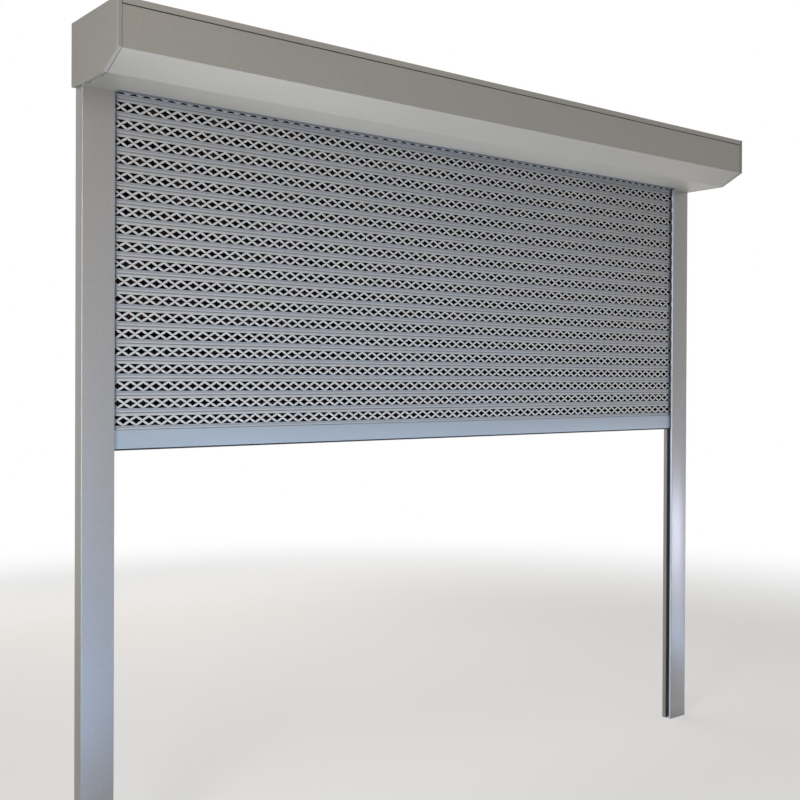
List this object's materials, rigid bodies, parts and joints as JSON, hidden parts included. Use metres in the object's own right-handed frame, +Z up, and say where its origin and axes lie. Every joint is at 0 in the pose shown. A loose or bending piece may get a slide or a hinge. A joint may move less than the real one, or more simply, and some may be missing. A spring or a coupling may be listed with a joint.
{
  "type": "roller shutter door",
  "caption": "Roller shutter door with a perforated slat curtain half lowered between guide rails, wound on a motor-driven tube in a chamfered overhead box.",
  "frame": {"origin": "the middle of the doorway at floor level, in the wall plane that the backs of the guide rails lie on", "axes": "+X along the door's width, to the right seen from the front; -Y out of the wall, towards the front; +Z up"},
  "size_m": [3.03, 0.335, 2.688],
  "materials": {
    "coated_aluminium": "satin metallic powder coat",
    "slat_aluminium": "satin metallic powder coat",
    "cast_aluminium": "satin powder coat on a casting",
    "black_plastic": "moulded, fine grain",
    "black_rubber": "extruded rubber",
    "brush_fibre": "woven pile",
    "zinc_steel": "zinc plated",
    "spring_steel": "blued spring steel",
    "bright_steel": "ground steel",
    "motor_paint": "black stoving enamel"
  },
  "bodies": {
    "frame": {"left_end_cap": "cast_aluminium", "right_end_cap": "cast_aluminium", "top_cover": "coated_aluminium", "front_cover": "coated_aluminium", "rear_cover": "coated_aluminium", "left_rail": "coated_aluminium", "right_rail": "coated_aluminium", "left_rail_cover": "coated_aluminium", "right_rail_cover": "coated_aluminium", "left_brush_seals": "brush_fibre", "right_brush_seals": "brush_fibre", "left_inlet_guide": "black_plastic", "right_inlet_guide": "black_plastic", "left_slot_closer": "coated_aluminium", "right_slot_closer": "coated_aluminium", "motor_body": "motor_paint", "motor_head": "motor_paint", "motor_bracket": "zinc_steel", "bearing_outer_ring": "bright_steel", "bearing_holder": "zinc_steel", "cap_screws": "bright_steel", "cable_grommet": "black_rubber", "unwinding_slats": "slat_aluminium"},
    "curtain": {"slat_01": "slat_aluminium", "slat_02": "slat_aluminium", "slat_03": "slat_aluminium", "slat_04": "slat_aluminium", "slat_05": "slat_aluminium", "slat_06": "slat_aluminium", "slat_07": "slat_aluminium", "slat_08": "slat_aluminium", "slat_09": "slat_aluminium", "slat_10": "slat_aluminium", "slat_11": "slat_aluminium", "slat_12": "slat_aluminium", "slat_13": "slat_aluminium", "slat_14": "slat_aluminium", "slat_15": "slat_aluminium", "slat_16": "slat_aluminium", "slat_17": "slat_aluminium", "slat_18": "slat_aluminium", "slat_19": "slat_aluminium", "slat_20": "slat_aluminium", "left_slat_clips": "black_plastic", "right_slat_clips": "black_plastic", "bottom_bar": "coated_aluminium", "bottom_seal": "black_rubber", "bar_plugs": "black_plastic"},
    "roll": {"winding_tube": "zinc_steel", "wound_slats": "slat_aluminium", "hanger_straps": "spring_steel", "drive_wheel": "black_plastic", "limit_crown": "black_plastic", "idler_plug": "black_plastic", "bearing_inner_ring": "bright_steel"}
  },
  "joints": [
    {"name": "curtain_travel", "type": "slide", "parent": "frame", "child": "curtain", "axis": [0, 0, 1], "range_m": [-1.363, 0.05], "deforming": ["unwinding_slats"]},
    {"name": "tube_turn", "type": "hinge", "parent": "frame", "child": "roll", "pos_m": [0, -0.118, 2.59], "axis": [1, 0, 0], "range_deg": [-1340, 50]}
  ],
  "couplings": [
    {"joint": "tube_turn", "follows": "curtain_travel", "rad_per_m": 17.1}
  ]
}
